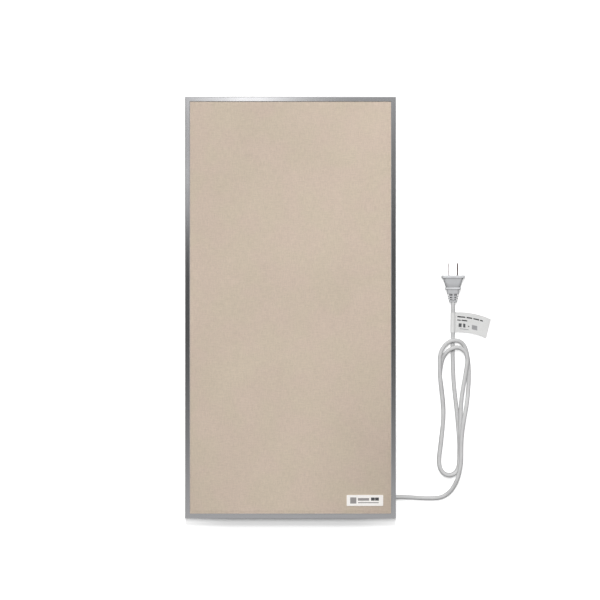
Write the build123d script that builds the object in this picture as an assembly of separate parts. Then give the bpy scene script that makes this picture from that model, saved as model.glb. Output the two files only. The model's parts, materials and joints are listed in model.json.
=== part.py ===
from build123d import *
import math
import os

# Radiant heater panel in a slim metal frame, in millimetres, +Z up.
# The panel lies on its back with the heated face up. Its long side runs along Y, and the
# origin is on the surface, below the middle of the panel.

# Panel and frame
panel_width = 300.0
panel_length = 600.0
rear_gap = 17.0
frame_wall = 1.4
lip_width = 7.0
lip_bevel = 0.7
edge_round = 1.0
flange_width = 12.0
key_space = 5.4
hook_height = 1.2
layer_clearance = 0.3

# Layers, from the face down
face_thickness = 1.2
field_inset = 0.3
field_slope = 4.0
field_rise = 0.5
film_thickness = 0.6
busbar_thickness = 0.4
insulation_thickness = 9.2
back_thickness = 1.0

# Fasteners
screw_gap = 0.1
recess_share = 0.6
small_screw_radius = 1.5
small_head_radius = 2.8
small_head_height = 1.6
large_screw_radius = 2.0
large_head_radius = 3.8
large_head_height = 2.2
slot_width = 0.9
tip_length = 0.6
cut_overrun = 1.0

# Corner keys
key_play = 0.15
key_arm_length = 38.0
key_screw_setback = 26.0

# Badge
badge_length = 52.0
badge_width = 15.5
badge_thickness = 0.8
badge_round = 1.2
badge_side_margin = 18.1
badge_bottom_margin = 17.9

# Heating layers
film_margin = 11.0
busbar_width = 10.0
busbar_inset = 4.0
busbar_end_margin = 6.0
foil_gap = 2.0

# Inner wiring
wire_radius = 1.2
wire_gap = 0.1
wire_bend = 4.5
barrel_radius = 1.9
barrel_length = 7.0
tab_length = 12.0
tab_width = 9.0
tab_thickness = 0.5
channel_gap = 0.3
cutoff_length = 20.0
cutoff_width = 7.5
cutoff_height = 3.8
cutoff_round = 1.0
cutoff_x = -20.0

# Terminal box on the back
box_side_gap = 30.0
box_end_gap = 2.0
box_length = 90.0
box_width = 48.0
box_depth = 22.5
box_wall = 2.4
box_floor = 2.0
box_round = 4.0
lid_thickness = 2.0
seal_width = 1.2
seal_height = 1.0
boss_radius = 3.2
boss_inset = 2.2
lid_screw_depth = 8.0
box_screw_spacing = 46.0
box_screw_inset = 7.0

# Terminal block
block_length = 24.0
block_width = 20.0
block_height = 14.0
block_round = 1.5
block_gap = 2.4
pole_pitch = 10.0
pole_depth = 8.0
pole_radius = 2.6
pole_bore = 1.5
pole_end_gap = 1.5
pole_screw_inset = 5.0
pole_screw_sink = 1.0
well_radius = 2.3
wire_seat = 8.0

# Wire hole and grommet
wire_hole_inset = 10.5
wire_spread = 3.2
grommet_bore = 3.6
grommet_neck = 5.9
grommet_flange = 7.6
grommet_lip = 1.3

# Back nuts
nut_radius = 4.0
nut_height = 2.4
nut_pocket_gap = 0.3
nut_pocket_depth = 4.0

# Wall brackets
bracket_inset_x = 50.0
bracket_inset_y = 100.0
bracket_sheet = 1.5
bracket_width = 25.0
bracket_face = 34.0
bracket_flange = 14.0
bracket_bend = 2.5
wall_hole_radius = 3.25
pad_radius = 4.5
pad_offset = 11.0
pad_thickness = 2.5
pad_round = 0.6

# Supply cord
cord_diameter = 6.0
core_radius = 1.1
exit_z = 11.0
clamp_setback = 16.5
clamp_gap = 1.1
clamp_length = 7.0
clamp_width = 20.0
clamp_web = 1.2
clamp_screw_pitch = 14.0
clamp_screw_radius = 1.2
clamp_head_radius = 2.4
clamp_screw_length = 9.0
sheath_end_gap = 2.0
gland_flange_radius = 7.0
gland_flange_thickness = 3.0
gland_stub_radius = 4.8
gland_catch_radius = 5.4
gland_catch_length = 1.4
gland_sleeve_length = 20.0
gland_root_radius = 5.4
gland_tip_radius = 4.3
gland_groove_count = 5
gland_groove_width = 1.4
gland_groove_depth = 0.8

# The free cord lies on the surface. It leaves the gland, runs out under the right rail and
# bends up beside the panel into a hank. Places across and along are from the gland's mouth.
lead_route = [
    (0.0, 0.0, exit_z),
    (11.0, 0.0, exit_z),
    (25.0, -0.9, 8.8),
    (40.0, -2.2, 5.0),
    (56.0, -3.3, 3.2),
    (71.5, -3.2, 3.3),
    (85.5, -0.5, 4.6),
    (97.0, 6.9, 7.9),
    (104.4, 17.7, 12.0),
    (109.3, 30.3, 15.6),
]

# After the hank, the cord runs on below it and straight up to the plug.
tail_route = [
    (110.2, 101.5, 3.1),
    (108.2, 123.5, 3.15),
    (105.8, 145.5, 3.1),
    (103.6, 168.5, 3.15),
    (102.7, 191.5, 3.05),
    (102.3, 213.0, 3.1),
    (102.5, 231.5, 3.8),
    (102.6, 249.5, 6.8),
    (102.4, 267.5, 10.5),
]
end_run = 15.0
arc_share = 0.45
straight_angle = 0.01

# Hank: two long loops drawn in at the waist, one lying on the other
hank_loops = 2
hank_across = 105.0
hank_along = 128.1
hank_half_length = 97.0
hank_half_width = 21.7
hank_step = 10.7
hank_floor = 3.3
layer_rise = 6.6

# Each station of a loop: across and along as shares of the hank's half width and half
# length, the draw of one further loop across and along as shares of the step, and the
# layer of the first and the second loop.
hank_station_shares = [
    (0.452, -0.660, -0.150, 0.000, 2.04, 1.02),
    (0.539, -0.419, -0.299, 0.000, 2.02, 1.01),
    (0.645, -0.165, -0.477, 0.000, 2.00, 1.00),
    (0.793, 0.076, -0.710, 0.000, 1.18, 1.00),
    (0.903, 0.319, -0.692, -0.093, 0.27, 1.00),
    (0.945, 0.499, -0.523, -0.234, 0.00, 1.02),
    (0.926, 0.643, -0.290, -0.280, 0.00, 1.06),
    (0.839, 0.784, -0.028, -0.505, 0.06, 1.12),
    (0.664, 0.909, 0.047, -0.692, 0.40, 1.14),
    (0.295, 0.990, -0.047, -0.860, 0.95, 1.12),
    (-0.295, 0.992, 0.187, -1.009, 1.11, 1.12),
    (-0.779, 0.895, 0.383, -0.729, 1.12, 0.80),
    (-0.986, 0.775, 0.374, -0.449, 1.12, 0.30),
    (-0.995, 0.654, 0.187, -0.327, 1.12, 0.06),
    (-0.986, 0.514, 0.047, -0.234, 1.06, 0.00),
    (-0.959, 0.334, 0.093, 0.000, 1.02, 0.00),
    (-0.802, -0.058, 0.000, 0.000, 1.00, 0.00),
    (-0.876, -0.429, 0.000, 0.000, 1.00, 0.00),
    (-0.977, -0.625, 0.000, 0.000, 1.00, 0.00),
    (-1.032, -0.738, 0.000, 0.000, 1.00, 0.00),
    (-1.049, -0.838, 0.000, 0.000, 1.00, 0.00),
    (-0.954, -0.925, 0.000, 0.000, 1.00, 0.00),
    (-0.649, -0.984, 0.000, 0.000, 1.00, 0.00),
    (-0.249, -0.992, 0.000, 0.000, 1.00, 0.00),
    (0.098, -0.947, 0.000, 0.000, 1.00, 0.00),
    (0.263, -0.865, 0.000, 0.000, 1.00, 0.00),
    (0.313, -0.759, 0.000, 0.000, 1.00, 0.00),
]

# Plug
plug_across = 102.4
plug_axis_z = 10.5
plug_along = 318.6
plug_flange_width = 33.0
plug_flange_height = 21.0
plug_flange_thickness = 4.0
rim_round_share = 0.25
plug_corner = 5.0
plug_shoulder_width = 28.4
plug_waist_width = 20.4
plug_taper_length = 13.0
plug_ridge_width = 22.4
plug_ridge_thickness = 3.2
plug_neck_width = 17.0
plug_neck_length = 5.4
plug_relief_width = 16.6
plug_relief_end_width = 13.2
plug_relief_length = 10.0
plug_collar_width = 11.4
plug_collar_length = 2.8
plug_depth_share = 0.62
plug_corner_share = 0.42
rib_groove_depth = 2.7
rib_core_height = 6.4
rib_web_width = 2.6

# Start and width of each groove as shares of the relief's length
groove_shares = [(0.09, 0.28), (0.52, 0.16), (0.82, 0.18)]

# Blades
blade_pitch = 12.7
blade_width = 6.35
blade_thickness = 1.5
blade_length = 17.6
blade_root = 6.0
blade_tip_chamfer = 1.6
blade_hole_radius = 1.6
blade_hole_setback = 5.0
blade_flat = 0.55

# Tag on the cord
tag_height = 29.0
tag_reach = 55.0
tag_sheet = 0.25
tag_sleeve_gap = 0.3
tag_along = 251.5
tag_centre_z = 7.2
tag_slope = 10.6
tag_droop = 2.8
tag_top_mid_reach_share = 0.55
tag_low_mid_reach_share = 0.50
tag_top_mid_share = 0.08
tag_top_end_share = 0.37
tag_low_mid_share = 0.09
tag_low_end_share = 0.36
tag_low_reach_share = 0.88

# Levels, from the surface up
frame_rear = rear_gap
back_rear = frame_rear + 2 * frame_wall + key_space
back_front = back_rear + back_thickness
insulation_front = back_front + insulation_thickness
film_rear = insulation_front + busbar_thickness
face_rear = film_rear + film_thickness
face_front = face_rear + face_thickness
field_front = face_front + field_rise
frame_depth = face_front + frame_wall - frame_rear
floor_face = back_rear - box_floor
lid_rear = back_rear - box_depth
lid_front = lid_rear + lid_thickness
wire_z = insulation_front - barrel_radius
pole_z = floor_face - pole_depth

# Places that several pieces share
half_width = panel_width / 2
half_length = panel_length / 2
layer_half_width = half_width - frame_wall - layer_clearance
layer_half_length = half_length - frame_wall - layer_clearance
film_half_width = layer_half_width - film_margin
film_half_length = layer_half_length - film_margin
busbar_x = film_half_width - busbar_inset - busbar_width / 2
busbar_half_length = film_half_length - busbar_end_margin
box_right = half_width - flange_width - box_side_gap
box_centre_x = box_right - box_length / 2
box_centre_y = box_width / 2 + box_end_gap + flange_width - half_length
wire_hole_x = box_right - box_length + wire_hole_inset
block_x = wire_hole_x + grommet_flange + block_gap + block_length / 2
clamp_x = box_right - clamp_setback
exit_x = box_right + gland_flange_thickness + gland_sleeve_length
exit_y = box_centre_y - box_width / 2 + box_wall + clamp_gap + clamp_width / 2
cord_radius = cord_diameter / 2
plug_x = exit_x + plug_across
plug_face_y = exit_y + plug_along
tag_centre_y = exit_y + tag_along
bracket_places = [
    (side * (half_width - bracket_inset_x), end * (half_length - bracket_inset_y))
    for side in (-1, 1)
    for end in (-1, 1)
]
bracket_screw_x = bracket_face / 2 + bracket_flange / 2
bracket_screw_places = [
    (x + side * bracket_screw_x, y) for x, y in bracket_places for side in (-1, 1)
]
box_screw_places = [
    (box_centre_x + side * box_screw_spacing / 2, box_centre_y + box_width / 2 - box_screw_inset)
    for side in (-1, 1)
]
lid_screw_places = [
    (
        box_centre_x + side * (box_length / 2 - box_wall - boss_inset),
        box_centre_y + end * (box_width / 2 - box_wall - boss_inset),
    )
    for side in (-1, 1)
    for end in (-1, 1)
]
pole_places = [box_centre_y - pole_pitch / 2, box_centre_y + pole_pitch / 2]
pole_screw_places = [
    block_x - block_length / 2 + pole_screw_inset,
    block_x + block_length / 2 - pole_screw_inset,
]
seal_inset = (box_wall - seal_width) / 2
clamp_rear = exit_z - cord_radius - clamp_web
clamp_screw_top = clamp_rear + clamp_screw_length
clamp_screw_places = [exit_y - clamp_screw_pitch / 2, exit_y + clamp_screw_pitch / 2]
foil_half_width = busbar_x - busbar_width / 2 - foil_gap
plug_length = (
    plug_flange_thickness
    + plug_taper_length
    + plug_ridge_thickness
    + plug_neck_length
    + plug_relief_length
    + plug_collar_length
)


def slab(x_low, x_high, y_low, y_high, z_low, z_high):
    """A box between three pairs of faces."""
    size = (x_high - x_low, y_high - y_low, z_high - z_low)
    middle = ((x_low + x_high) / 2, (y_low + y_high) / 2, (z_low + z_high) / 2)
    return Pos(*middle) * Box(*size)


def post(x, y, radius, z_low, z_high):
    """A round post along Z."""
    return Pos(x, y, (z_low + z_high) / 2) * Cylinder(radius, z_high - z_low)


def bar(x_low, x_high, y, z, radius):
    """A round bar along X."""
    lying = Rot(0, 90, 0) * Cylinder(radius, x_high - x_low)
    return Pos((x_low + x_high) / 2, y, z) * lying


def rounded_slab(length, width, corner, z_low, z_high, x, y):
    """A plate with round corners, standing along Z."""
    outline = RectangleRounded(length, width, corner)
    return Pos(x, y, z_low) * extrude(outline, amount=z_high - z_low)


def screw(shank_radius, shank_length, head_radius, head_height):
    """A slotted pan-head screw, its head below Z zero and its shank above."""
    head = Pos(0, 0, -head_height / 2) * Cylinder(head_radius, head_height)
    rim = head.faces().sort_by(Axis.Z)[0].edges()
    head = chamfer(rim, head_height * (1 - recess_share))
    shank = Pos(0, 0, shank_length / 2) * Cylinder(shank_radius, shank_length)
    slot_depth = head_height * recess_share
    slot = Pos(0, 0, -head_height) * Box(2 * head_radius, slot_width, slot_depth)
    return head + shank - slot


def group(solids):
    """Separate solids that share one node."""
    return Compound(children=[solid for item in solids for solid in item.solids()])


def unit(vector):
    return vector / vector.length


def corner_radii(points, tightest=None):
    """The largest smooth radius at each corner of a cord's route."""
    radii = []
    for before, corner, after in zip(points, points[1:], points[2:]):
        arriving = corner - before
        leaving = after - corner
        half_turn = math.radians(arriving.get_angle(leaving)) / 2
        radius = arc_share * min(arriving.length, leaving.length) / math.tan(half_turn)
        radii.append(radius if tightest is None else min(radius, tightest))
    return radii


def tube(path, radius):
    """A round tube along a path."""
    start = path @ 0
    section = Plane(origin=start, z_dir=path % 0) * Circle(radius)
    return sweep(section, path=path)


def routed_tube(route, radius, tightest=None):
    """A tube of straight runs joined by tangent arcs."""
    points = [Vector(*point) for point in route]
    radii = corner_radii(points, tightest)
    path = FilletPolyline(*points, radius=radii)
    return tube(path, radius), path, radii


def circle_tangent(before, point, after):
    """The direction at a point of the circle through it and its neighbours."""
    arriving = point - before
    leaving = after - point
    blended = unit(arriving) * leaving.length + unit(leaving) * arriving.length
    return unit(blended)


def biarc(start, start_direction, end, end_direction):
    """Two tangent arcs between two points with given directions."""
    span = end - start
    both = start_direction + end_direction
    along = span.dot(both)
    spread = 1 - start_direction.dot(end_direction)
    reach = span.dot(span) / (along + math.sqrt(along**2 + 2 * spread * span.dot(span)))
    first_control = start + start_direction * reach
    last_control = end - end_direction * reach
    middle = (first_control + last_control) / 2
    middle_direction = unit(last_control - first_control)
    edges = []
    for first, last, direction in (
        (start, middle, start_direction),
        (middle, end, middle_direction),
    ):
        if direction.get_angle(last - first) < straight_angle:
            edges.append(Edge.make_line(first, last))
        else:
            edges.append(Edge.make_tangent_arc(first, direction, last))
    return edges


def from_mouth(route):
    """The points of a route that is given from the gland's mouth."""
    return [(exit_x + across, exit_y + along, height) for across, along, height in route]


def hank_station(turn, row):
    """A point of the hank, on its loops drawn in by one step for each turn."""
    across, along, draw_across, draw_along, first_layer, second_layer = row
    layer = first_layer + turn * (second_layer - first_layer)
    return Vector(
        exit_x + hank_across + hank_half_width * across + hank_step * turn * draw_across,
        exit_y + hank_along + hank_half_length * along + hank_step * turn * draw_along,
        hank_floor + layer_rise * layer,
    )


def hank_stations():
    per_turn = len(hank_station_shares)
    stations = []
    for index in range(hank_loops * per_turn + 1):
        turn, place = divmod(index, per_turn)
        stations.append(hank_station(turn, hank_station_shares[place]))
    return stations


def hank_path():
    """Straight ends of one diameter, and biarcs through the stations between them."""
    stations = hank_stations()
    start_direction = unit(stations[1] - stations[0])
    end_direction = unit(stations[-1] - stations[-2])
    points = [stations[0] + start_direction * cord_diameter]
    points += stations[1:-1]
    points += [stations[-1] - end_direction * cord_diameter]
    directions = [start_direction]
    for before, point, after in zip(points, points[1:], points[2:]):
        directions.append(circle_tangent(before, point, after))
    directions.append(end_direction)
    edges = [Edge.make_line(stations[0], points[0])]
    for index in range(len(points) - 1):
        edges += biarc(points[index], directions[index], points[index + 1], directions[index + 1])
    edges.append(Edge.make_line(points[-1], stations[-1]))
    return edges, start_direction, end_direction


def least_gap(edges, radius, apart):
    """The smallest gap between stretches of a tube that lie further apart along it."""
    samples = []
    travelled = 0.0
    for edge in edges:
        steps = max(2, math.ceil(edge.length / radius))
        for step in range(steps):
            share = step / steps
            samples.append((travelled + edge.length * share, edge @ share))
        travelled += edge.length
    nearest = math.inf
    for index, (distance, point) in enumerate(samples):
        for other_distance, other in samples[index + 1 :]:
            if other_distance - distance > apart:
                nearest = min(nearest, (other - point).length)
    return nearest - 2 * radius


def frame_profile():
    """The rail's section: front lip, outer wall, plate shelf and the hooked key channel."""
    inner_hook = flange_width - frame_wall
    shelf_low = frame_wall + key_space
    corners = [
        ((0, 0), 0),
        ((flange_width, 0), 0),
        ((flange_width, frame_wall + hook_height), 0),
        ((inner_hook, frame_wall + hook_height), 0),
        ((inner_hook, frame_wall), 0),
        ((frame_wall, frame_wall), 0),
        ((frame_wall, shelf_low), 0),
        ((inner_hook, shelf_low), 0),
        ((inner_hook, shelf_low - hook_height), 0),
        ((flange_width, shelf_low - hook_height), 0),
        ((flange_width, shelf_low + frame_wall), 0),
        ((frame_wall, shelf_low + frame_wall), 0),
        ((frame_wall, frame_depth - frame_wall), 0),
        ((lip_width, frame_depth - frame_wall), 0),
        ((lip_width, frame_depth - lip_bevel), 0),
        ((lip_width - lip_bevel, frame_depth), 0),
        ((0, frame_depth), edge_round),
    ]
    points = [Vector(across, 0, height) for (across, height), _ in corners]
    radii = [radius for _, radius in corners]
    return make_face(FilletPolyline(*points, radius=radii, close=True))


def rail(length):
    """A rail along Y with its outer face at X zero, mitred at both ends, with screw holes."""
    solid = Pos(0, -length / 2, 0) * extrude(frame_profile(), amount=length, dir=(0, 1, 0))
    for end in (-1, 1):
        cut = Plane(origin=(0, end * length / 2, 0), z_dir=(-1, -end, 0))
        solid = split(solid, bisect_by=cut, keep=Keep.TOP)
        hole_y = end * (length / 2 - key_screw_setback)
        hole_radius = small_screw_radius + screw_gap
        solid -= post(flange_width / 2, hole_y, hole_radius, -cut_overrun, frame_wall + cut_overrun)
    return Pos(0, 0, frame_rear) * solid


def corner_key():
    """An L-shaped key in the channel of two rails, for the corner at low X and low Y."""
    near = frame_wall + key_play
    far = flange_width - frame_wall - key_play
    low = frame_rear + frame_wall
    high = low + key_space - key_play
    key = slab(near, far, near, key_arm_length, low, high)
    key += slab(near, key_arm_length, near, far, low, high)
    middle = flange_width / 2
    for x, y in ((middle, key_screw_setback), (key_screw_setback, middle)):
        key -= post(x, y, small_screw_radius + screw_gap, low - cut_overrun, high + cut_overrun)
    return Pos(-half_width, -half_length, 0) * key


def corner_screw_pair():
    """The two screws of the same corner, driven in from the rear."""
    fastener = screw(
        small_screw_radius,
        frame_wall + key_space - key_play,
        small_head_radius,
        small_head_height,
    )
    middle = flange_width / 2
    places = ((middle, key_screw_setback), (key_screw_setback, middle))
    pair = [Pos(x - half_width, y - half_length, frame_rear) * fastener for x, y in places]
    return pair


def four_corners(item):
    """Copies of a corner piece, mirrored into the four corners."""
    beside = mirror(item, about=Plane.YZ)
    return [
        item,
        beside,
        mirror(item, about=Plane.XZ),
        mirror(beside, about=Plane.XZ),
    ]


def layer(half_x, half_y, z_low, z_high):
    return slab(-half_x, half_x, -half_y, half_y, z_low, z_high)


def face_plate():
    """The heated face, its field slightly raised inside the frame's opening."""
    foot_width = 2 * (half_width - lip_width - field_inset)
    foot_length = 2 * (half_length - lip_width - field_inset)
    foot = Rectangle(foot_width, foot_length)
    crown = Rectangle(foot_width - 2 * field_slope, foot_length - 2 * field_slope)
    field = loft([Pos(0, 0, face_front) * foot, Pos(0, 0, field_front) * crown])
    return layer(layer_half_width, layer_half_length, face_rear, face_front) + field


def insulation():
    """The board behind the film, with its wire channel, pockets and wire hole."""
    board = layer(layer_half_width, layer_half_length, back_front, insulation_front)
    channel_half = barrel_radius + channel_gap
    channel_end = busbar_x + tab_width / 2 + channel_gap
    top = insulation_front + cut_overrun
    channel_low = wire_z - channel_half
    board -= slab(
        -channel_end,
        channel_end,
        box_centre_y - channel_half,
        box_centre_y + channel_half,
        channel_low,
        top,
    )
    for side in (-1, 1):
        x = side * busbar_x
        board -= slab(
            x - tab_width / 2 - channel_gap,
            x + tab_width / 2 + channel_gap,
            box_centre_y - tab_length / 2 - channel_gap,
            box_centre_y + tab_length / 2 + channel_gap,
            insulation_front - tab_thickness,
            top,
        )
    board -= slab(
        cutoff_x - cutoff_length / 2 - channel_gap,
        cutoff_x + cutoff_length / 2 + channel_gap,
        box_centre_y - cutoff_width / 2 - channel_gap,
        box_centre_y + cutoff_width / 2 + channel_gap,
        insulation_front - cutoff_height - channel_gap,
        top,
    )
    hole_radius = grommet_bore + channel_gap
    low = back_front - cut_overrun
    board -= post(wire_hole_x, box_centre_y, hole_radius, low, top)
    flange_top = back_front + grommet_lip + channel_gap
    board -= post(wire_hole_x, box_centre_y, grommet_flange + channel_gap, low, flange_top)
    for x, y in bracket_screw_places + box_screw_places:
        pocket_radius = nut_radius + nut_pocket_gap
        board -= post(x, y, pocket_radius, low, back_front + nut_pocket_depth)
    return board


def back_plate():
    plate = layer(layer_half_width, layer_half_length, back_rear, back_front)
    low = back_rear - cut_overrun
    high = back_front + cut_overrun
    for x, y in bracket_screw_places + box_screw_places:
        plate -= post(x, y, large_screw_radius + screw_gap, low, high)
    plate -= post(wire_hole_x, box_centre_y, grommet_neck, low, high)
    return plate


def film_terminal(side):
    """A tab under the end of a busbar, with a crimp barrel that points to the middle."""
    x = side * busbar_x
    tab = slab(
        x - tab_width / 2,
        x + tab_width / 2,
        box_centre_y - tab_length / 2,
        box_centre_y + tab_length / 2,
        insulation_front - tab_thickness,
        insulation_front,
    )
    mouth = x - side * (tab_width / 2)
    root = mouth + side * barrel_length
    low, high = min(mouth, root), max(mouth, root)
    barrel = bar(low, high, box_centre_y, wire_z, barrel_radius)
    seat = root - side * tab_thickness
    low, high = min(mouth, seat), max(mouth, seat)
    bore = bar(low, high, box_centre_y, wire_z, wire_radius + wire_gap)
    return tab + barrel - bore


def clinch_nut(x, y):
    nut = post(x, y, nut_radius, back_front, back_front + nut_height)
    hole_radius = large_screw_radius + screw_gap
    top = back_front + nut_height + cut_overrun
    return nut - post(x, y, hole_radius, back_front - cut_overrun, top)


def bracket(x, y):
    """A folded wall bracket: two flanges on the back plate and a face that stands off."""
    half_face = bracket_face / 2
    reach = half_face + bracket_flange
    top = back_rear
    low = pad_thickness
    sheet = bracket_sheet
    inner = bracket_bend - sheet
    corners = [
        ((-reach, top), 0),
        ((-reach, top - sheet), 0),
        ((-half_face, top - sheet), inner),
        ((-half_face, low), bracket_bend),
        ((half_face, low), bracket_bend),
        ((half_face, top - sheet), inner),
        ((reach, top - sheet), 0),
        ((reach, top), 0),
        ((half_face - sheet, top), bracket_bend),
        ((half_face - sheet, low + sheet), inner),
        ((-half_face + sheet, low + sheet), inner),
        ((-half_face + sheet, top), bracket_bend),
    ]
    points = [Vector(across, 0, height) for (across, height), _ in corners]
    radii = [radius for _, radius in corners]
    face = make_face(FilletPolyline(*points, radius=radii, close=True))
    strip = Pos(0, -bracket_width / 2, 0) * extrude(face, amount=bracket_width, dir=(0, 1, 0))
    strip -= post(0, 0, wall_hole_radius, low - cut_overrun, low + sheet + cut_overrun)
    for side in (-1, 1):
        hole_radius = large_screw_radius + screw_gap
        over = top + cut_overrun
        strip -= post(side * bracket_screw_x, 0, hole_radius, top - sheet - cut_overrun, over)
    return Pos(x, y, 0) * strip


def pad(x, y):
    """A round rubber foot beside the bracket's wall hole. The panel rests on these feet."""
    foot = post(x, y, pad_radius, 0, pad_thickness)
    return fillet(foot.faces().sort_by(Axis.Z)[0].edges(), pad_round)


def box_outline(inset, z_low, z_high):
    return rounded_slab(
        box_length - 2 * inset,
        box_width - 2 * inset,
        box_round - inset,
        z_low,
        z_high,
        box_centre_x,
        box_centre_y,
    )


def box_base():
    """The terminal box: floor on the back plate, walls, lid bosses and the clamp's post."""
    base = box_outline(0, lid_front, back_rear)
    base -= box_outline(box_wall, lid_front - cut_overrun, floor_face)
    for x, y in lid_screw_places:
        base += post(x, y, boss_radius, lid_front, floor_face)
    for x, y in lid_screw_places:
        hole_radius = small_screw_radius + screw_gap
        base -= post(x, y, hole_radius, lid_front - cut_overrun, lid_front + lid_screw_depth)
    base += slab(
        clamp_x - clamp_length / 2,
        clamp_x + clamp_length / 2,
        exit_y - clamp_width / 2,
        exit_y + clamp_width / 2,
        exit_z + cord_radius,
        floor_face,
    )
    for y in clamp_screw_places:
        hole_radius = clamp_screw_radius + screw_gap
        low = exit_z + cord_radius - cut_overrun
        base -= post(clamp_x, y, hole_radius, low, clamp_screw_top + tip_length)
    for x, y in box_screw_places:
        hole_radius = large_screw_radius + screw_gap
        base -= post(x, y, hole_radius, floor_face - cut_overrun, back_rear + cut_overrun)
    base -= post(
        wire_hole_x, box_centre_y, grommet_neck, floor_face - cut_overrun, back_rear + cut_overrun
    )
    wall_low = box_right - box_wall - cut_overrun
    base -= bar(wall_low, box_right + cut_overrun, exit_y, exit_z, gland_stub_radius + screw_gap)
    return base


def box_lid():
    lid = box_outline(0, lid_rear, lid_front)
    groove = box_outline(seal_inset, lid_front - seal_height, lid_front + cut_overrun)
    island_low = lid_front - seal_height - cut_overrun
    groove -= box_outline(seal_inset + seal_width, island_low, lid_front + 2 * cut_overrun)
    lid -= groove
    for x, y in lid_screw_places:
        hole_radius = small_screw_radius + screw_gap
        lid -= post(x, y, hole_radius, lid_rear - cut_overrun, lid_front + cut_overrun)
    return lid


def box_seal():
    ring = box_outline(seal_inset, lid_front - seal_height, lid_front)
    island_low = lid_front - seal_height - cut_overrun
    return ring - box_outline(seal_inset + seal_width, island_low, lid_front + cut_overrun)


def terminal_block():
    """A two-pole block under the box floor, with wire ways along X and screw wells."""
    block = rounded_slab(
        block_length,
        block_width,
        block_round,
        floor_face - block_height,
        floor_face,
        block_x,
        box_centre_y,
    )
    low = block_x - block_length / 2 - cut_overrun
    high = block_x + block_length / 2 + cut_overrun
    for y in pole_places:
        block -= bar(low, high, y, pole_z, pole_radius + wire_gap)
        for x in pole_screw_places:
            well_low = floor_face - block_height - cut_overrun
            block -= post(x, y, well_radius, well_low, pole_z)
    return block


def pole(y):
    """A brass barrel with a wire way and two threaded screw holes."""
    half = block_length / 2 - pole_end_gap
    sleeve = bar(block_x - half, block_x + half, y, pole_z, pole_radius)
    bore_low = block_x - half - cut_overrun
    sleeve -= bar(bore_low, block_x + half + cut_overrun, y, pole_z, pole_bore)
    for x in pole_screw_places:
        hole_low = pole_z - pole_radius - cut_overrun
        sleeve -= post(x, y, small_screw_radius + screw_gap, hole_low, pole_z)
    return sleeve


def pole_screw(x, y):
    low = floor_face - block_height + pole_screw_sink
    high = pole_z - wire_radius
    shank = post(x, y, small_screw_radius, low, high)
    slot_depth = small_head_height * recess_share
    return shank - Pos(x, y, low) * Box(2 * small_screw_radius, slot_width, slot_depth)


def grommet():
    """A rubber grommet through the back plate and the box floor."""
    bottom = floor_face - grommet_lip
    top = back_front + grommet_lip
    ring = post(wire_hole_x, box_centre_y, grommet_neck, bottom, top)
    ring += post(wire_hole_x, box_centre_y, grommet_flange, bottom, floor_face)
    ring += post(wire_hole_x, box_centre_y, grommet_flange, back_front, top)
    return ring - post(
        wire_hole_x, box_centre_y, grommet_bore, bottom - cut_overrun, top + cut_overrun
    )


def inner_wires():
    """The wires between the film's terminals, the cut-off and the terminal block."""
    left_mouth = -busbar_x + tab_width / 2
    right_mouth = busbar_x - tab_width / 2
    seat_depth = barrel_length - 2 * tab_thickness
    link = bar(
        left_mouth - seat_depth,
        cutoff_x - cutoff_length / 2,
        box_centre_y,
        wire_z,
        wire_radius,
    )
    block_left = block_x - block_length / 2
    bend_z = floor_face - grommet_lip - wire_bend
    wires = []
    for start_x, side in (
        (cutoff_x + cutoff_length / 2, -1),
        (right_mouth + seat_depth, 1),
    ):
        drop_x = wire_hole_x + side * wire_spread / 2
        pole_y = box_centre_y - side * pole_pitch / 2
        wires.append(
            [
                (start_x, box_centre_y, wire_z),
                (drop_x, box_centre_y, wire_z),
                (drop_x, box_centre_y, bend_z),
                (block_left - wire_bend, pole_y, pole_z),
                (block_left + wire_seat, pole_y, pole_z),
            ]
        )
    live, neutral = [routed_tube(route, wire_radius, wire_bend)[0] for route in wires]
    return link, live, neutral


def cutoff():
    """The thermal cut-off in its pocket, flat against the foil."""
    case = rounded_slab(
        cutoff_length,
        cutoff_width,
        cutoff_round,
        insulation_front - cutoff_height,
        insulation_front,
        cutoff_x,
        box_centre_y,
    )
    return case


def gland():
    """A snap-in strain relief: catch, stub, flange and a grooved, tapered sleeve."""
    wall_inner = box_right - box_wall
    flange_end = box_right + gland_flange_thickness
    body = bar(wall_inner, box_right, exit_y, exit_z, gland_stub_radius)
    catch_start = wall_inner - gland_catch_length
    body += bar(catch_start, wall_inner, exit_y, exit_z, gland_catch_radius)
    flange = bar(box_right, flange_end, exit_y, exit_z, gland_flange_radius)
    body += chamfer(flange.faces().sort_by(Axis.X)[-1].edges(), gland_groove_depth)
    taper = Cone(gland_root_radius, gland_tip_radius, gland_sleeve_length)
    body += Pos(flange_end + gland_sleeve_length / 2, exit_y, exit_z) * (Rot(0, 90, 0) * taper)
    groove_pitch = gland_sleeve_length / (gland_groove_count + 1)
    for index in range(gland_groove_count):
        x = flange_end + groove_pitch * (index + 1) - gland_groove_width / 2
        outer = bar(x, x + gland_groove_width, exit_y, exit_z, gland_flange_radius)
        taper_share = (index + 1) / (gland_groove_count + 1)
        local_radius = gland_root_radius + (gland_tip_radius - gland_root_radius) * taper_share
        core_size = local_radius - gland_groove_depth
        body -= outer - bar(x, x + gland_groove_width, exit_y, exit_z, core_size)
    end = flange_end + gland_sleeve_length
    body -= bar(catch_start - cut_overrun, end + cut_overrun, exit_y, exit_z, cord_radius + wire_gap)
    return body


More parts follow.
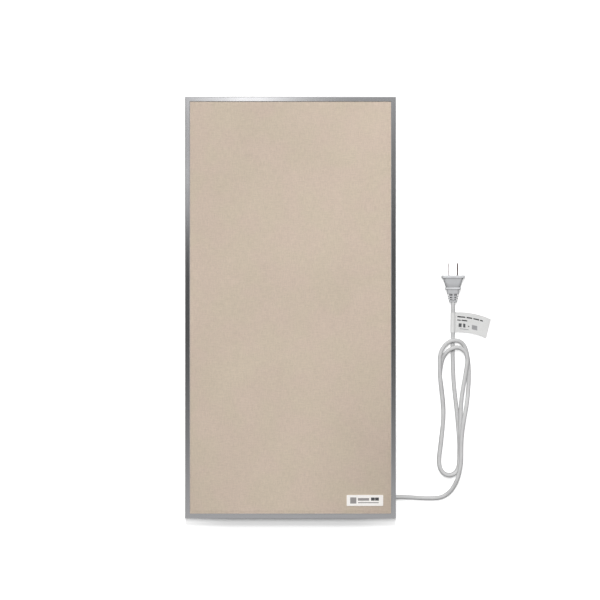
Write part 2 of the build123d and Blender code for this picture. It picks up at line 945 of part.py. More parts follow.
def clamp():
    """The bar that presses the sheath against the post in the box."""
    low = clamp_rear
    body = slab(
        clamp_x - clamp_length / 2,
        clamp_x + clamp_length / 2,
        exit_y - clamp_width / 2,
        exit_y + clamp_width / 2,
        low,
        exit_z,
    )
    end = clamp_length / 2 + cut_overrun
    body -= bar(clamp_x - end, clamp_x + end, exit_y, exit_z, cord_radius)
    for y in clamp_screw_places:
        body -= post(
            clamp_x, y, clamp_screw_radius + screw_gap, low - cut_overrun, exit_z + cut_overrun
        )
    return body


def inner_cord():
    """The sheath inside the gland and box, and its two cores to the terminal block."""
    sheath_start = clamp_x - clamp_length / 2 - sheath_end_gap
    sheath = bar(sheath_start, exit_x, exit_y, exit_z, cord_radius)
    block_right = block_x + block_length / 2
    cores = []
    for side, pole_y in zip((-1, 1), pole_places):
        core_y = exit_y + side * cord_radius / 2
        straight = sheath_start - core_radius
        route = [
            (sheath_start, core_y, exit_z),
            (straight - core_radius, core_y, exit_z),
            (block_right + wire_bend, pole_y, pole_z),
            (block_right - wire_seat, pole_y, pole_z),
        ]
        cores.append(routed_tube(route, core_radius, wire_bend)[0])
    return sheath, cores


def plug_section(distance, width, height=None):
    """A round-cornered section of the plug, at a distance behind its face."""
    height = width * plug_depth_share if height is None else height
    corner = min(plug_corner, height * plug_corner_share)
    middle = (plug_x, plug_face_y - distance, plug_axis_z)
    plane = Plane(origin=middle, x_dir=(1, 0, 0), z_dir=(0, -1, 0))
    return plane * RectangleRounded(width, height, corner)


def plug_slab(start, length, width, height=None):
    return extrude(plug_section(start, width, height), amount=length)


def rimmed_slab(start, length, width, height=None):
    """A slab of the plug with its rims rounded."""
    block = plug_slab(start, length, width, height)
    return fillet(block.edges().filter_by(Plane.XZ), length * rim_round_share)


def plug_body():
    """The moulded plug: flange, tapered grip, ridge, neck and the ribbed strain relief."""
    body = rimmed_slab(0, plug_flange_thickness, plug_flange_width, plug_flange_height)
    start = plug_flange_thickness
    body += loft(
        [
            plug_section(start, plug_shoulder_width),
            plug_section(start + plug_taper_length, plug_waist_width),
        ]
    )
    start += plug_taper_length
    body += rimmed_slab(start, plug_ridge_thickness, plug_ridge_width)
    start += plug_ridge_thickness
    body += loft(
        [
            plug_section(start, plug_waist_width - plug_ridge_thickness / 2),
            plug_section(start + plug_neck_length, plug_neck_width),
        ]
    )
    start += plug_neck_length
    relief_end = start + plug_relief_length
    relief = loft(
        [
            plug_section(start, plug_relief_width),
            plug_section(relief_end, plug_relief_end_width),
        ]
    )
    web_half = rib_web_width / 2
    for start_share, width_share in groove_shares:
        groove_start = start + plug_relief_length * start_share
        groove_width = plug_relief_length * width_share
        local_width = plug_relief_width
        local_width += (plug_relief_end_width - plug_relief_width) * start_share
        core_width = local_width - 2 * rib_groove_depth
        ring = plug_slab(groove_start, groove_width, plug_ridge_width)
        ring -= plug_slab(groove_start, groove_width, core_width, rib_core_height)
        ring -= slab(
            plug_x - web_half,
            plug_x + web_half,
            plug_face_y - relief_end,
            plug_face_y,
            plug_axis_z - plug_ridge_width,
            plug_axis_z + plug_ridge_width,
        )
        relief -= ring
    body += relief
    body += rimmed_slab(relief_end, plug_collar_length, plug_collar_width)
    root_y = plug_face_y - blade_root
    for side in (-1, 1):
        x = plug_x + side * blade_pitch / 2
        body -= slab(
            x - blade_thickness / 2,
            x + blade_thickness / 2,
            root_y,
            plug_face_y + cut_overrun,
            plug_axis_z - blade_width / 2,
            plug_axis_z + blade_width / 2,
        )
    return body


def blade(side):
    """A flat blade with a chamfered tip and the usual hole near it."""
    x = plug_x + side * blade_pitch / 2
    tip = plug_face_y + blade_length
    flat = slab(
        x - blade_thickness / 2,
        x + blade_thickness / 2,
        plug_face_y - blade_root,
        tip,
        plug_axis_z - blade_width / 2,
        plug_axis_z + blade_width / 2,
    )
    corners = flat.edges().filter_by(Axis.X).group_by(Axis.Y)[-1]
    flat = chamfer(corners, blade_tip_chamfer)
    sides = flat.faces().sort_by(Axis.Y)[-1].edges().filter_by(Axis.Z)
    flat = chamfer(sides, blade_thickness / 2 * blade_flat)
    low = x - blade_thickness / 2 - cut_overrun
    high = x + blade_thickness / 2 + cut_overrun
    return flat - bar(low, high, tip - blade_hole_setback, plug_axis_z, blade_hole_radius)


def tag():
    """A flag label: a sleeve folded round the cord and a curved flag to the right."""
    inner = cord_radius + tag_sleeve_gap
    outer = inner + tag_sheet
    sleeve = Rot(90, 0, 0) * Cylinder(outer, tag_height)
    flag_left = inner + tag_sheet / 2
    top = tag_height / 2
    top_left = (flag_left, top)
    top_mid = (tag_reach * tag_top_mid_reach_share, top - tag_height * tag_top_mid_share)
    top_right = (tag_reach, top - tag_height * tag_top_end_share)
    low_right = (tag_reach * tag_low_reach_share, -top - tag_height * tag_low_end_share)
    low_mid = (tag_reach * tag_low_mid_reach_share, -top - tag_height * tag_low_mid_share)
    low_left = (flag_left, -top)
    outline = [
        ThreePointArc(top_left, top_mid, top_right),
        Line(top_right, low_right),
        ThreePointArc(low_right, low_mid, low_left),
        Line(low_left, top_left),
    ]
    flag = extrude(make_face(Curve() + outline), amount=tag_sheet / 2, both=True)
    folded = sleeve + Rot(0, tag_droop, 0) * flag
    folded -= Rot(90, 0, 0) * Cylinder(inner, tag_height + 2 * cut_overrun)
    return Pos(plug_x, tag_centre_y, tag_centre_z) * (Rot(tag_slope, 0, 0) * folded)


pieces = {}

# Frame
side_rail = rail(panel_length)
end_rail = rail(panel_width)
pieces["frame_rail_left"] = Pos(-half_width, 0, 0) * side_rail
pieces["frame_rail_right"] = Pos(half_width, 0, 0) * (Rot(0, 0, 180) * side_rail)
pieces["frame_rail_bottom"] = Pos(0, -half_length, 0) * (Rot(0, 0, 90) * end_rail)
pieces["frame_rail_top"] = Pos(0, half_length, 0) * (Rot(0, 0, -90) * end_rail)
pieces["corner_keys"] = group(four_corners(corner_key()))
pieces["corner_screws"] = group(
    [copy for fastener in corner_screw_pair() for copy in four_corners(fastener)]
)

# Face and heating layers
pieces["front_plate"] = face_plate()
pieces["badge_plate"] = rounded_slab(
    badge_length,
    badge_width,
    badge_round,
    field_front,
    field_front + badge_thickness,
    half_width - badge_side_margin - badge_length / 2,
    -half_length + badge_bottom_margin + badge_width / 2,
)
pieces["heating_film"] = layer(film_half_width, film_half_length, film_rear, face_rear)
for name, side in (("busbar_left", -1), ("busbar_right", 1)):
    pieces[name] = slab(
        side * busbar_x - busbar_width / 2,
        side * busbar_x + busbar_width / 2,
        -busbar_half_length,
        busbar_half_length,
        insulation_front,
        film_rear,
    )
pieces["reflector_foil"] = layer(foil_half_width, busbar_half_length, insulation_front, film_rear)
pieces["insulation_board"] = insulation()
pieces["back_plate"] = back_plate()
pieces["film_terminals"] = group([film_terminal(-1), film_terminal(1)])

# Wall brackets
pieces["clinch_nuts"] = group(
    [clinch_nut(x, y) for x, y in bracket_screw_places + box_screw_places]
)
pieces["wall_brackets"] = group([bracket(x, y) for x, y in bracket_places])
bracket_screw = screw(
    large_screw_radius,
    bracket_sheet + back_thickness + nut_height + tip_length,
    large_head_radius,
    large_head_height,
)
pieces["bracket_screws"] = group(
    [Pos(x, y, back_rear - bracket_sheet) * bracket_screw for x, y in bracket_screw_places]
)
pieces["bracket_pads"] = group(
    [pad(x + side * pad_offset, y) for x, y in bracket_places for side in (-1, 1)]
)

# Terminal box
pieces["terminal_box_base"] = box_base()
pieces["terminal_box_lid"] = box_lid()
pieces["box_seal"] = box_seal()
lid_screw = screw(
    small_screw_radius,
    lid_thickness + lid_screw_depth - tip_length,
    small_head_radius,
    small_head_height,
)
pieces["lid_screws"] = group([Pos(x, y, lid_rear) * lid_screw for x, y in lid_screw_places])
box_screw = screw(
    large_screw_radius,
    box_floor + back_thickness + nut_height + tip_length,
    large_head_radius,
    large_head_height,
)
pieces["box_screws"] = group([Pos(x, y, floor_face) * box_screw for x, y in box_screw_places])
pieces["terminal_block"] = terminal_block()
pieces["terminal_barrels"] = group([pole(y) for y in pole_places])
pieces["terminal_screws"] = group(
    [pole_screw(x, y) for x in pole_screw_places for y in pole_places]
)
pieces["wire_grommet"] = grommet()

# Inner wiring
link, live, neutral = inner_wires()
pieces["wire_link"] = link
pieces["wire_live"] = live
pieces["wire_neutral"] = neutral
pieces["thermal_cutoff"] = cutoff()

# Cord entry
pieces["cord_gland"] = gland()
pieces["cord_clamp"] = clamp()
clamp_screw = screw(clamp_screw_radius, clamp_screw_length, clamp_head_radius, clamp_web)
pieces["clamp_screws"] = group(
    [Pos(clamp_x, y, clamp_rear) * clamp_screw for y in clamp_screw_places]
)
sheath, cores = inner_cord()
pieces["cord_inner_sheath"] = sheath
pieces["cord_cores"] = group(cores)

# Free cord
hank_edges, hank_start_direction, hank_end_direction = hank_path()
stations = hank_stations()
hank_wire = Wire(hank_edges)
lead_end = stations[0]
lead_points = from_mouth(lead_route) + [
    tuple(lead_end - hank_start_direction * end_run),
    tuple(lead_end),
]
tail_start = stations[-1]
tail_points = [tuple(tail_start), tuple(tail_start + hank_end_direction * end_run)]
tail_points += from_mouth(tail_route)
tail_points.append((plug_x, plug_face_y - plug_length, plug_axis_z))
lead, lead_path, lead_radii = routed_tube(lead_points, cord_radius)
tail, tail_path, tail_radii = routed_tube(tail_points, cord_radius)
hank = tube(hank_wire, cord_radius)
pieces["cord_lead"] = lead
pieces["cord_hank"] = hank
pieces["cord_tail"] = tail

# Plug and tag
pieces["plug_body"] = plug_body()
pieces["plug_blades"] = group([blade(-1), blade(1)])
pieces["cord_tag"] = tag()

print("lead radii", [round(radius, 1) for radius in lead_radii])
print("tail radii", [round(radius, 1) for radius in tail_radii])
total = 0.0
for name, path in (("cord_lead", lead_path), ("cord_hank", hank_wire), ("cord_tail", tail_path)):
    expected = math.pi * cord_radius**2 * path.length
    total += path.length
    share = pieces[name].volume / expected
    print(name, "length", round(path.length, 1), "volume share", round(share, 4))
print("cord length outside", round(total, 1))
every_edge = list(lead_path.edges()) + hank_edges + list(tail_path.edges())
print("least gap in the hank", round(least_gap(hank_edges, cord_radius, 3 * cord_diameter), 2))
print("least gap in the cord", round(least_gap(every_edge, cord_radius, 3 * cord_diameter), 2))
print("frame depth", round(frame_depth, 2))

os.makedirs("parts", exist_ok=True)
for name, piece in pieces.items():
    export_step(piece, f"parts/{name}.step")
print(len(pieces), "nodes written")
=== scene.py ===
import functools
import json

import bpy
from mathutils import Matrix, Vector


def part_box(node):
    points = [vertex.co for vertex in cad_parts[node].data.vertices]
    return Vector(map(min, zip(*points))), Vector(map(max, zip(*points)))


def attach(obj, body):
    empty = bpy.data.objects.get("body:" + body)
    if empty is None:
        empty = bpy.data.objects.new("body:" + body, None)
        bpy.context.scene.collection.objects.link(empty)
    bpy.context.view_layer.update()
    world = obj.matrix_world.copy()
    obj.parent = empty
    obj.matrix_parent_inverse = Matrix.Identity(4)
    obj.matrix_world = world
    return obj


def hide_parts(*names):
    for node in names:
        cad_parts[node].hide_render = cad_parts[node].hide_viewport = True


# Looks of a radiant heater panel that lies on a white surface beside its cord, in metres.
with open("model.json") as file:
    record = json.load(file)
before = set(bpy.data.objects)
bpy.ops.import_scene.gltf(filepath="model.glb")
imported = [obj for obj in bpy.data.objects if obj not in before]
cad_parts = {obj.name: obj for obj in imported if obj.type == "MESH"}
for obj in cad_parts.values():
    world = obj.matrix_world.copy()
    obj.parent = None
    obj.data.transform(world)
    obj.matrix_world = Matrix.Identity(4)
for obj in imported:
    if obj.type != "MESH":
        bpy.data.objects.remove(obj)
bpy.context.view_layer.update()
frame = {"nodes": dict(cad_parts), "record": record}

MM = 0.001

# Camera, straight above the panel
CAMERA_PLACE = (0.01351, 0.01081, 2.8836)
CAMERA_LENS = 120.0
CAMERA_SENSOR = 36.0
CAMERA_REACH = 60.0

# Cord, in millimetres. Places across and along are from the gland's mouth.
CORD_DIAMETER = 6.0
MOUTH = (131.0, -272.5)
LEAD_ROUTE = [
    (0.0, 0.0, 11.0),
    (11.0, 0.0, 11.0),
    (25.0, 0.2, 8.8),
    (40.0, -0.6, 5.0),
    (56.0, -1.7, 3.2),
    (71.5, -2.0, 3.3),
    (85.5, -0.5, 4.6),
    (97.0, 6.9, 7.9),
    (104.4, 17.7, 12.0),
    (109.3, 30.3, 15.6),
]
TAIL_ROUTE = [
    (110.2, 101.5, 3.1),
    (108.2, 123.5, 3.15),
    (105.8, 145.5, 3.1),
    (103.6, 168.5, 3.15),
    (102.7, 191.5, 3.05),
    (102.3, 213.0, 3.1),
    (102.5, 231.5, 3.8),
    (102.6, 249.5, 6.8),
    (102.4, 267.5, 10.5),
    (102.4, 280.2, 10.5),
]
END_RUN = 15.0
HANK_LOOPS = 2
HANK_CENTRE = (236.0, -144.4)
HANK_HALF_WIDTH = 21.7
HANK_HALF_LENGTH = 97.0
HANK_STEP = 10.7
HANK_FLOOR = 3.3
LAYER_RISE = 6.6

# Each station of a loop: across and along as shares of the hank's half width and half
# length, the draw of one further loop across and along as shares of the step, and the
# layer of the first and the second loop.
HANK_STATIONS = [
    (0.396, -0.660, -0.084, 0.000, 2.04, 1.02),
    (0.429, -0.419, -0.112, 0.000, 2.02, 1.01),
    (0.581, -0.165, -0.411, 0.000, 2.00, 1.00),
    (0.793, 0.076, -0.766, 0.000, 1.18, 1.00),
    (0.917, 0.319, -0.738, -0.093, 0.27, 1.00),
    (0.954, 0.499, -0.542, -0.234, 0.00, 1.02),
    (0.926, 0.643, -0.290, -0.280, 0.00, 1.06),
    (0.839, 0.784, -0.028, -0.505, 0.06, 1.12),
    (0.664, 0.909, 0.047, -0.692, 0.40, 1.14),
    (0.295, 0.990, -0.047, -0.860, 0.95, 1.12),
    (-0.295, 0.992, 0.187, -1.009, 1.11, 1.12),
    (-0.779, 0.895, 0.383, -0.729, 1.12, 0.80),
    (-0.986, 0.775, 0.374, -0.449, 1.12, 0.30),
    (-0.995, 0.654, 0.187, -0.327, 1.12, 0.06),
    (-0.986, 0.514, 0.047, -0.234, 1.06, 0.00),
    (-0.931, 0.334, 0.093, 0.000, 1.02, 0.00),
    (-0.760, -0.058, 0.084, 0.000, 1.00, 0.00),
    (-0.876, -0.429, 0.000, 0.000, 1.00, 0.00),
    (-0.977, -0.625, 0.000, 0.000, 1.00, 0.00),
    (-1.032, -0.738, 0.000, 0.000, 1.00, 0.00),
    (-1.018, -0.837, 0.000, 0.000, 1.00, 0.00),
    (-0.889, -0.922, 0.000, 0.000, 1.00, 0.00),
    (-0.618, -0.982, 0.000, 0.000, 1.00, 0.00),
    (-0.244, -0.993, 0.000, 0.000, 1.00, 0.00),
    (0.097, -0.948, 0.000, 0.000, 1.00, 0.00),
    (0.263, -0.865, 0.000, 0.000, 1.00, 0.00),
    (0.313, -0.759, 0.000, 0.000, 1.00, 0.00),
]
BEND_SHARE = 0.125
CORD_ROUND_STEPS = 5
CORD_LENGTH_STEPS = 8

# Tag, in millimetres: where the cord goes through it, how its print sags per square of the
# distance from there, and the print's plain bars, each a centre and half sizes
TAG_CENTRE = (233.4, -21.0)
TAG_SAG = 0.0035
TAG_BARS = [
    (12.0, 8.0, 5.8, 0.9),
    (23.8, 8.0, 4.0, 0.9),
    (33.6, 8.0, 4.1, 0.9),
    (41.3, 8.0, 2.0, 0.9),
    (8.9, 3.2, 2.7, 0.8),
    (16.6, 3.2, 4.1, 0.8),
]
TAG_BLOCKS = [
    (10.5, -4.1, 2.1, 2.7),
    (16.5, -4.1, 1.6, 2.7),
    (22.9, -4.4, 0.9, 0.8),
]
TAG_PALE_BARS = [
    (16.3, -9.3, 6.4, 0.5),
    (31.4, -4.6, 3.9, 3.2),
]
TAG_INK = (52, 52, 54)
TAG_BLOCK_INK = (96, 97, 99)
TAG_PALE_INK = (168, 168, 170)

# Badge, in millimetres from its own middle: its print is plain bars too
BADGE_BARS = [
    (11.3, 2.0, 2.7, 2.2),
    (17.1, 2.0, 2.7, 2.2),
]
BADGE_PALE_BARS = [
    (-2.1, 1.6, 8.0, 1.9),
    (4.8, -3.1, 14.7, 0.7),
    (-16.6, 0.0, 4.4, 4.4),
]
BADGE_INK = (70, 70, 72)
BADGE_PALE_INK = (152, 148, 147)

# Face: its two tones, a painted shade that tilts its brightness along it, as a slope per
# metre at the left and right edges, and sets a level at the sides, a painted shade that
# darkens it towards the lower corners, the ranges of its clouds and its weave, and the
# scales and shares that its weave is made of
FACE_TONES = ((217, 199, 183), (215, 200, 181))
FACE_REACH = 0.14
FACE_PAINTED_SLOPES = (-0.14, 0.2)
FACE_PAINTED_SIDES = (-0.02, -0.027)
FACE_CORNER_SHADE = 18.0
FACE_CLOUD = (0.937, 0.982)
FACE_WEAVE = (0.86, 1.0)
FACE_THREADS = ((95.0, 1000.0, 1.0), (1000.0, 95.0, 1.0))
THREAD_SHARE = 0.35
SPECK_SHARE = 0.3

# Plug, in metres: how far the painted shade of its hollows sees around it, how open a place
# is from all painted shade to none, the two ends of its grip, which is painted darker
# towards its lower end, and the middle and half length of the two rims that carry a painted
# highlight
HOLLOW_SHADE_REACH = 0.0035
HOLLOW_SHADE_OPENNESS = (0.3, 0.96)
PLUG_GRIP = (0.0290, 0.0370)
PLUG_RIMS = [(0.0275, 0.0014), (0.0442, 0.0020)]
PLUG_RIM_HIGHLIGHT = 0.22
# How dark the grip's painted shade gets, and the plastic's tones in the open and in the
# painted shade of its hollows
PLUG_GRIP_PAINTED_SHADE = 0.8
PLUG_OPEN_TONES = ((193, 194, 196), (203, 204, 206))
PLUG_HOLLOW_SHADE = ((84, 84, 86), (98, 98, 100))

# Blades: the two tones of the bright one, the darker browner tones of the other one, which
# are a painted dark reflection, and how metallic they are
BLADE_BRIGHT = ((236, 229, 230), (244, 238, 239))
BLADE_DARK_REFLECTION = ((120, 100, 98), (146, 126, 122))
BLADE_METALLIC = (0.35, 1.0)

# Insulation felt: the scales of its fibres along both ways
FELT_FIBRES = ((200.0, 1500.0, 900.0), (1500.0, 200.0, 900.0))

# Heating film, in metres: the step of its bands and the soft edge between two of them
FILM_BAND_STEP = 0.006
FILM_BAND_EDGE = (0.0022, 0.0028)

# Rail: its two tones, its middle roughness, and the scales of its streaks along it and
# across it
RAIL_TONES = ((200, 200, 202), (212, 212, 214))
RAIL_ROUGHNESS = 0.08
FINE_STREAKS = (14.0, 4200.0)
BROAD_STREAKS = (5.0, 900.0)

# Light: the white that the camera sees, then the sky that matt surfaces see, with its
# level straight above and what it gains towards the left and towards the top
SKY_WHITE = 1.0
WORLD_LEVEL = 0.268
WORLD_SIDE = 0.4
WORLD_TOP = 0.82

# Key lamps, each a place and a power in watts
KEY_AIM = (0.0, 0.0, 0.02)
KEY_SIZE = (0.25, 0.38)
KEYS = [
    ((0.0, 0.31, 3.3), 38.0),
    ((0.0, 1.00, 3.3), 42.5),
]

# Floor: its own glow, which rises between two distances from the middle as painted light
# that lightens the panel's shadow at its ends and beyond its sides, and the shares of its
# colour that bounced and mirrored rays meet
FLOOR_SIZE = 24.0
FLOOR_COLOUR = 0.95
FLOOR_GLOW = 0.255
FLOOR_GLOW_LIFTING_SHADOW = 0.42
GLOW_REACH = (0.08, 0.16)
FLOOR_BOUNCE_SHARE = 0.55
FLOOR_GLOSS_SHARE = 0.35

# Studio ceiling that the metal reflects, in slopes from the zenith, with a rim of low sky
# that changes towards the bottom and the top. A softbox is both middles, both sizes and a
# level.
SKY_LEAST_HEIGHT = 0.05
CEILING_DARK = 0.125
CEILING_CURVE = 45.0
CEILING_SHIFT = 0.006
CEILING_TOP = 0.85
CEILING_BESIDE = 0.6
CEILING_SIDES = (0.6, 1.6)
CEILING_RIM = 0.65
RIM_HEIGHTS = (0.2, 0.6)
RIM_BELOW = 0.3
RIM_ABOVE = -0.08
SOFTBOXES = [
    (-0.027, 0.112, 0.0225, 0.020, 2.35),
    (-0.060, 0.058, 0.016, 0.022, 0.95),
    (0.0775, 0.02, 0.006, 0.04, 0.9),
    (0.0, 0.36, 0.12, 0.16, 1.2),
]

# The ranges that most of one noise and of the sum of two and of three lie in, and those
# that bring out the middle of a noise, of the rail's streaks and of the face's weave
NOISE_RANGE = (0.3, 0.7)
PAIR_RANGE = (0.75, 1.25)
TRIO_RANGE = (1.2, 1.8)
MIDDLE_RANGE = (0.35, 0.65)
STREAK_RANGE = (0.25, 0.75)
WEAVE_RANGE = (0.38, 0.62)

# White in eight-bit display values
DISPLAY_TOP = 255


def middle(node):
    """The middle of a CAD node's box, across and along, in millimetres."""
    low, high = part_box(node)
    return [(low[axis] + high[axis]) / 2 / MM for axis in (0, 1)]


def linear(value):
    """The linear value of an eight-bit display value, by the sRGB curve."""
    share = value / DISPLAY_TOP
    return share / 12.92 if share <= 0.04045 else ((share + 0.055) / 1.055) ** 2.4


def opaque(colour):
    """The four linear values of a display colour that lets nothing through."""
    return (*map(linear, colour), 1.0)


class Nodes:
    """A node tree and the calls that add linked nodes to it."""

    def __init__(self, tree):
        self.tree = tree

    def add(self, kind, inputs=(), **settings):
        node = self.tree.nodes.new(kind)
        for key, value in settings.items():
            setattr(node, key, value)
        for key, value in dict(inputs).items():
            if isinstance(value, bpy.types.NodeSocket):
                self.tree.links.new(value, node.inputs[key])
            else:
                node.inputs[key].default_value = value
        return node

    def maths(self, operation, *values):
        return self.add("ShaderNodeMath", enumerate(values), operation=operation).outputs[0]

    def chain(self, operation, values):
        """One value worked out from many, two at a time."""
        return functools.reduce(functools.partial(self.maths, operation), values)

    def total(self, *values):
        return self.chain("ADD", values)

    def product(self, *values):
        return self.chain("MULTIPLY", values)

    def blend(self, share, first, second):
        """A mix of two values, by a share of the second."""
        rest = self.maths("SUBTRACT", 1.0, share)
        return self.total(self.product(first, rest), self.product(second, share))

    def place(self, name="Object"):
        return self.add("ShaderNodeTexCoord").outputs[name]

    def split(self, vector):
        return self.add("ShaderNodeSeparateXYZ", {"Vector": vector}).outputs

    def stretch(self, vector, scale, turn=(0.0, 0.0, 0.0)):
        inputs = {"Vector": vector, "Scale": scale, "Rotation": turn}
        return self.add("ShaderNodeMapping", inputs).outputs["Vector"]

    def noise(self, vector, scale=1.0, detail=2.0, roughness=0.5, distortion=0.0):
        inputs = {
            "Vector": vector,
            "Scale": scale,
            "Detail": detail,
            "Roughness": roughness,
            "Distortion": distortion,
        }
        return self.add("ShaderNodeTexNoise", inputs).outputs[0]

    def cell_edges(self, vector, scale):
        """The distance to the edges of irregular cells."""
        inputs = {"Vector": vector, "Scale": scale}
        node = self.add("ShaderNodeTexVoronoi", inputs, feature="DISTANCE_TO_EDGE")
        return node.outputs["Distance"]

    def remap(self, value, low, high, new_low=0.0, new_high=1.0):
        inputs = {
            "Value": value,
            "From Min": low,
            "From Max": high,
            "To Min": new_low,
            "To Max": new_high,
        }
        node = self.add("ShaderNodeMapRange", inputs, interpolation_type="SMOOTHSTEP")
        return node.outputs["Result"]

    def spread(self, noise, low=0.0, high=1.0):
        """The range that most of a noise lies in, spread from low to high."""
        return self.remap(noise, *NOISE_RANGE, low, high)

    def shared(self, first, second):
        """A share from nought to one that follows the sum of two noises."""
        return self.remap(self.total(first, second), *PAIR_RANGE)

    def mix(self, share, first, second, blend="MIX"):
        """A mix of two colours, each four linear values or a socket."""
        node = self.add("ShaderNodeMix", data_type="RGBA", blend_type=blend)
        for index, value in ((0, share), (6, first), (7, second)):
            if isinstance(value, bpy.types.NodeSocket):
                self.tree.links.new(value, node.inputs[index])
            else:
                node.inputs[index].default_value = value
        return node.outputs[2]

    def from_centre(self, place, centre):
        """Both coordinates of a place, in millimetres from a centre."""
        offsets = []
        for value, middle in zip(self.split(place), centre):
            offsets.append(self.maths("SUBTRACT", self.maths("DIVIDE", value, MM), middle))
        return offsets

    def bars(self, x, y, rows):
        """One where a place in millimetres lies in one of the bars, else nought."""
        inside = 0.0
        for centre_x, centre_y, half_x, half_y in rows:
            across = self.maths("COMPARE", x, centre_x, half_x)
            along = self.maths("COMPARE", y, centre_y, half_y)
            inside = self.maths("MAXIMUM", inside, self.product(across, along))
        return inside

    def printed(self, base, x, y, rows, ink):
        """A base colour with bars of one ink, in display values, printed on it."""
        return self.mix(self.bars(x, y, rows), base, opaque(ink))

    def grey(self, value):
        return self.add("ShaderNodeCombineColor", {0: value, 1: value, 2: value}).outputs[0]

    def shaded(self, base, shade):
        """A base colour multiplied by a shade."""
        return self.mix(1.0, base, self.grey(shade), "MULTIPLY")


class Surface(Nodes):
    """A material that starts as one principled surface, with some uniform levels."""

    def __init__(self, name, **levels):
        self.material = bpy.data.materials.new(name)
        self.material.use_nodes = True
        super().__init__(self.material.node_tree)
        self.shader = self.tree.nodes["Principled BSDF"]
        for key, value in levels.items():
            self.shader.inputs[key.replace("_", " ")].default_value = value

    def feed(self, name, socket):
        self.tree.links.new(socket, self.shader.inputs[name])

    def tones(self, share, first, second):
        """A mix of two display colours, by a share of the second."""
        return self.mix(share, opaque(first), opaque(second))

    def colour(self, share, first, second):
        self.feed("Base Color", self.tones(share, first, second))

    def bump(self, height, depth, strength=1.0, under=None):
        """Feeds a bump of a height in metres, on top of another bump if one is given."""
        inputs = {"Height": height, "Distance": depth, "Strength": strength}
        if under is not None:
            inputs["Normal"] = under
        normal = self.add("ShaderNodeBump", inputs).outputs["Normal"]
        self.feed("Normal", normal)
        return normal


def streak_scale(axis, along, across):
    """The scale of streaks that run along an axis, 0 for X and 1 for Y."""
    scale = [across] * 3
    scale[axis] = along
    return scale


def brushed_metal(name, axis):
    """Satin metal brushed along an axis, with fine streaks of tone, gloss and height."""
    made = Surface(name, Metallic=1.0)
    place = made.place()
    fine = made.noise(made.stretch(place, streak_scale(axis, *FINE_STREAKS)), detail=3.0)
    broad = made.noise(made.stretch(place, streak_scale(axis, *BROAD_STREAKS)), detail=2.0)
    cloud = made.noise(place, scale=18.0, detail=3.0)
    streaks = made.total(made.product(fine, 0.5), made.product(broad, 0.5))
    made.colour(made.spread(streaks), *RAIL_TONES)
    waver = made.remap(streaks, *STREAK_RANGE, -0.02, 0.02)
    dull = made.spread(cloud, -0.01, 0.01)
    made.feed("Roughness", made.total(waver, RAIL_ROUGHNESS, dull))
    made.bump(streaks, depth=0.00002, strength=0.2)
    return made.material


def linen_face(name):
    """A warm beige coated face with a fine woven grain, a slow cloud of tone, and painted
    shade that tilts its brightness along and across it and darkens its lower corners.
    """
    made = Surface(name, Specular_IOR_Level=0.35)
    place = made.place()
    x, y, _ = made.split(place)
    weave = [
        made.noise(made.stretch(place, scale), detail=3.0, roughness=0.6)
        for scale in FACE_THREADS
    ]
    speck = made.noise(place, scale=620.0, detail=3.0, roughness=0.65)
    broad = made.noise(place, scale=9.0, detail=3.0, roughness=0.55)
    turned = made.stretch(place, (1.0, 1.0, 1.0), turn=(0.0, 0.0, 0.9))
    hue = made.noise(turned, scale=24.0, detail=3.0)
    threads = made.product(made.total(*weave), THREAD_SHARE)
    grain = made.total(threads, made.product(speck, SPECK_SHARE))
    base = made.tones(made.remap(hue, *MIDDLE_RANGE), *FACE_TONES)
    # Painted shade: brightness sloped along the face, changing from left to right, a level
    # across, and darker towards the lower corners
    painted_slope = made.product(y, made.remap(x, -FACE_REACH, FACE_REACH, *FACE_PAINTED_SLOPES))
    across = made.remap(x, -FACE_REACH, FACE_REACH, *FACE_PAINTED_SIDES)
    corners = made.product(x, x, made.maths("MINIMUM", y, 0.0), FACE_CORNER_SHADE)
    shade = made.total(painted_slope, across, corners, made.spread(broad, *FACE_CLOUD))
    woven = made.remap(grain, *WEAVE_RANGE, *FACE_WEAVE)
    made.feed("Base Color", made.shaded(made.shaded(base, shade), woven))
    made.feed("Roughness", made.remap(grain, *MIDDLE_RANGE, 0.66, 0.52))
    made.bump(grain, depth=0.00012, strength=0.5)
    return made.material


def moulded(name, first, second, roughness, grain=2600.0, depth=0.00003):
    """Moulded plastic with a fine spark texture and a slight cloud of tone."""
    made = Surface(name)
    place = made.place()
    fine = made.noise(place, scale=grain, detail=3.0, roughness=0.6)
    cloud = made.noise(place, scale=60.0, detail=3.0)
    made.colour(made.shared(fine, cloud), first, second)
    made.feed("Roughness", made.spread(cloud, roughness - 0.06, roughness + 0.06))
    made.bump(fine, depth, strength=0.5)
    return made.material


